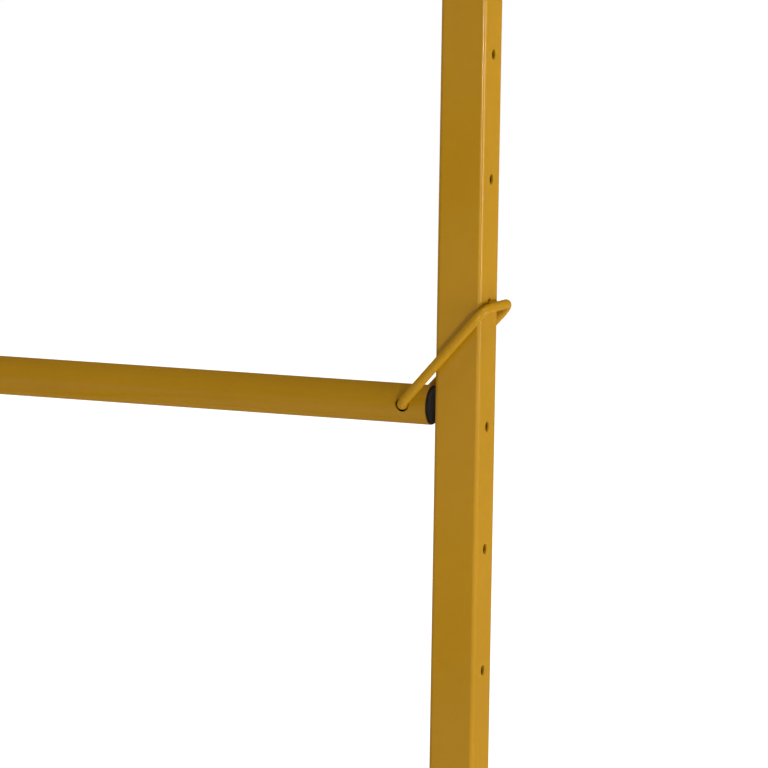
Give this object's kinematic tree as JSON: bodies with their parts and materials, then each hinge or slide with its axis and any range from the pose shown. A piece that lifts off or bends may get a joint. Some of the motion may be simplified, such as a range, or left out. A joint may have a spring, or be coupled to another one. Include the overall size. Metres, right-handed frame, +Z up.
{
  "type": "balance beam",
  "caption": "Padded gymnastics balance beam on two steel stands. Round crossbars hang between square uprights on wire bails, whose pegs latch in rows of holes to set its height.",
  "frame": {"origin": "on the floor, at the centre of the four uprights", "axes": "+Y along the beam, +X along the crossbars, +Z up"},
  "size_m": [1.1596, 2.5286, 0.8653],
  "materials": {
    "yellow_powder_coat": "satin powder coat",
    "black_plastic": "moulded, fine grain",
    "black_rubber": "matt",
    "zinc_plated_steel": "bright zinc plate",
    "laminated_timber": "planed and oiled",
    "suede_cover": "synthetic suede",
    "closed_cell_foam": "closed-cell foam"
  },
  "bodies": {
    "stands": {"stretcher": "yellow_powder_coat", "tie_far": "yellow_powder_coat", "stretcher_socket_far": "yellow_powder_coat", "socket_bolt_far": "zinc_plated_steel", "socket_nut_far": "zinc_plated_steel", "upright_far_right": "yellow_powder_coat", "cap_far_right": "black_plastic", "foot_far_right": "yellow_powder_coat", "shoe_far_right_outer": "black_rubber", "shoe_far_right_inner": "black_rubber", "upright_far_left": "yellow_powder_coat", "cap_far_left": "black_plastic", "foot_far_left": "yellow_powder_coat", "shoe_far_left_outer": "black_rubber", "shoe_far_left_inner": "black_rubber", "tie_near": "yellow_powder_coat", "stretcher_socket_near": "yellow_powder_coat", "socket_bolt_near": "zinc_plated_steel", "socket_nut_near": "zinc_plated_steel", "upright_near_right": "yellow_powder_coat", "cap_near_right": "black_plastic", "foot_near_right": "yellow_powder_coat", "shoe_near_right_outer": "black_rubber", "shoe_near_right_inner": "black_rubber", "upright_near_left": "yellow_powder_coat", "cap_near_left": "black_plastic", "foot_near_left": "yellow_powder_coat", "shoe_near_left_outer": "black_rubber", "shoe_near_left_inner": "black_rubber"},
    "lift": {"bar_plug_far_right": "black_plastic", "bar_plug_far_left": "black_plastic", "crossbar_far": "yellow_powder_coat", "saddle_far": "yellow_powder_coat", "saddle_bolt_far": "zinc_plated_steel", "saddle_nut_far": "zinc_plated_steel", "end_cap_far": "black_plastic", "saddle_screw_far_inner": "zinc_plated_steel", "saddle_screw_far_outer": "zinc_plated_steel", "end_screw_far_upper": "zinc_plated_steel", "end_screw_far_lower": "zinc_plated_steel", "bar_plug_near_right": "black_plastic", "bar_plug_near_left": "black_plastic", "crossbar_near": "yellow_powder_coat", "saddle_near": "yellow_powder_coat", "saddle_bolt_near": "zinc_plated_steel", "saddle_nut_near": "zinc_plated_steel", "end_cap_near": "black_plastic", "saddle_screw_near_inner": "zinc_plated_steel", "saddle_screw_near_outer": "zinc_plated_steel", "end_screw_near_upper": "zinc_plated_steel", "end_screw_near_lower": "zinc_plated_steel", "beam_core": "laminated_timber", "beam_foam": "closed_cell_foam", "beam_cover": "suede_cover"},
    "bail_far_right": {"bail_far_right": "yellow_powder_coat"},
    "bail_far_left": {"bail_far_left": "yellow_powder_coat"},
    "bail_near_right": {"bail_near_right": "yellow_powder_coat"},
    "bail_near_left": {"bail_near_left": "yellow_powder_coat"}
  },
  "joints": [
    {"name": "beam_height", "type": "slide", "parent": "stands", "child": "lift", "axis": [0, 0, 1], "range_m": [-0.392, 0.196]},
    {"name": "bail_far_right_swing", "type": "hinge", "parent": "lift", "child": "bail_far_right", "pos_m": [0.5033, 1, 0.501], "axis": [0, 1, 0], "range_deg": [0, 90]},
    {"name": "bail_far_left_swing", "type": "hinge", "parent": "lift", "child": "bail_far_left", "pos_m": [-0.5033, 1, 0.501], "axis": [0, -1, 0], "range_deg": [0, 90]},
    {"name": "bail_near_right_swing", "type": "hinge", "parent": "lift", "child": "bail_near_right", "pos_m": [0.5033, -1, 0.501], "axis": [0, 1, 0], "range_deg": [0, 90]},
    {"name": "bail_near_left_swing", "type": "hinge", "parent": "lift", "child": "bail_near_left", "pos_m": [-0.5033, -1, 0.501], "axis": [0, -1, 0], "range_deg": [0, 90]}
  ]
}
